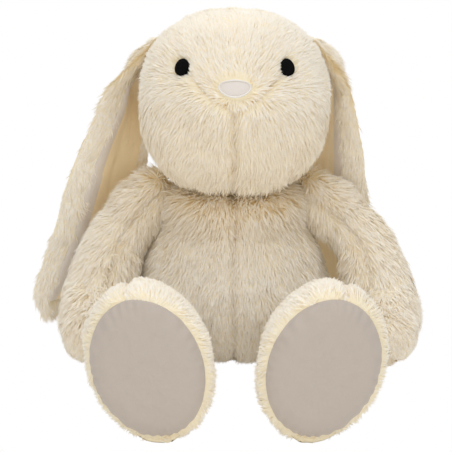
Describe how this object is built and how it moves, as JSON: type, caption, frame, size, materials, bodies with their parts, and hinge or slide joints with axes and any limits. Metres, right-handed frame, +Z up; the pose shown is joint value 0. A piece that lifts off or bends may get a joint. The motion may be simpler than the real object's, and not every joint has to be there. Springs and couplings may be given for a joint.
{
  "type": "stuffed rabbit",
  "caption": "Sitting plush rabbit in long cream fur, with long lop ears, limbs that lift, velour soles and ear linings, and embroidered eyes and nose.",
  "frame": {"origin": "the middle of the flat seat, on the surface the rabbit sits on", "axes": "+Z up, -Y the way the rabbit faces, +X towards the rabbit's own left"},
  "size_m": [0.3967, 0.3903, 0.3435],
  "materials": {
    "fur_cream": "long soft pile, matte",
    "velour_pale": "short pile, matte",
    "nose_velour": "short pile, matte",
    "thread_white": "satin stitch, soft sheen",
    "thread_black": "satin stitch, matte",
    "thread_cream": "sewing thread, matte",
    "fibre_white": "loose polyester fibre, matte",
    "pellets": "small pellets in an inner bag, matte",
    "label_satin": "woven satin ribbon, soft sheen"
  },
  "bodies": {
    "torso": {"torso_front_left": "fur_cream", "torso_front_right": "fur_cream", "torso_back_left": "fur_cream", "torso_back_right": "fur_cream", "seat_panel": "fur_cream", "torso_filling": "fibre_white", "seat_bean_bag": "pellets", "neck_stitching": "thread_cream", "tail_cover": "fur_cream", "tail_filling": "fibre_white", "care_label": "label_satin"},
    "head": {"head_top_gusset": "fur_cream", "head_cheek_left": "fur_cream", "head_cheek_right": "fur_cream", "head_filling": "fibre_white", "eye_left": "thread_black", "eye_right": "thread_black", "nose_patch": "nose_velour", "nose_border": "thread_white"},
    "ear_left": {"ear_left_outer": "fur_cream", "ear_left_lining": "velour_pale"},
    "arm_left": {"arm_left_outer": "fur_cream", "arm_left_inner": "fur_cream", "arm_left_filling": "fibre_white"},
    "leg_left": {"leg_left_outer": "fur_cream", "leg_left_inner": "fur_cream", "leg_left_filling": "fibre_white", "sole_left": "velour_pale"},
    "ear_right": {"ear_right_outer": "fur_cream", "ear_right_lining": "velour_pale"},
    "arm_right": {"arm_right_outer": "fur_cream", "arm_right_inner": "fur_cream", "arm_right_filling": "fibre_white"},
    "leg_right": {"leg_right_outer": "fur_cream", "leg_right_inner": "fur_cream", "leg_right_filling": "fibre_white", "sole_right": "velour_pale"}
  },
  "joints": [
    {"name": "head_nod", "type": "hinge", "parent": "torso", "child": "head", "pos_m": [0, 0, 0.162], "axis": [1, 0, 0], "range_deg": [-4, 10]},
    {"name": "arm_left_lift", "type": "hinge", "parent": "torso", "child": "arm_left", "pos_m": [0.08, 0.003, 0.1565], "axis": [-0.7071, -0.7071, 0], "range_deg": [0, 45]},
    {"name": "leg_left_lift", "type": "hinge", "parent": "torso", "child": "leg_left", "pos_m": [0.065, -0.101, 0.044], "axis": [-1, 0, 0], "range_deg": [0, 50]},
    {"name": "ear_left_lift", "type": "hinge", "parent": "head", "child": "ear_left", "pos_m": [0.0795, 0.019, 0.322], "axis": [0, -1, 0], "range_deg": [0, 90]},
    {"name": "arm_right_lift", "type": "hinge", "parent": "torso", "child": "arm_right", "pos_m": [-0.08, 0.003, 0.1565], "axis": [-0.7071, 0.7071, 0], "range_deg": [0, 45]},
    {"name": "leg_right_lift", "type": "hinge", "parent": "torso", "child": "leg_right", "pos_m": [-0.065, -0.101, 0.044], "axis": [-1, 0, 0], "range_deg": [0, 50]},
    {"name": "ear_right_lift", "type": "hinge", "parent": "head", "child": "ear_right", "pos_m": [-0.0795, 0.019, 0.322], "axis": [0, 1, 0], "range_deg": [0, 90]}
  ]
}
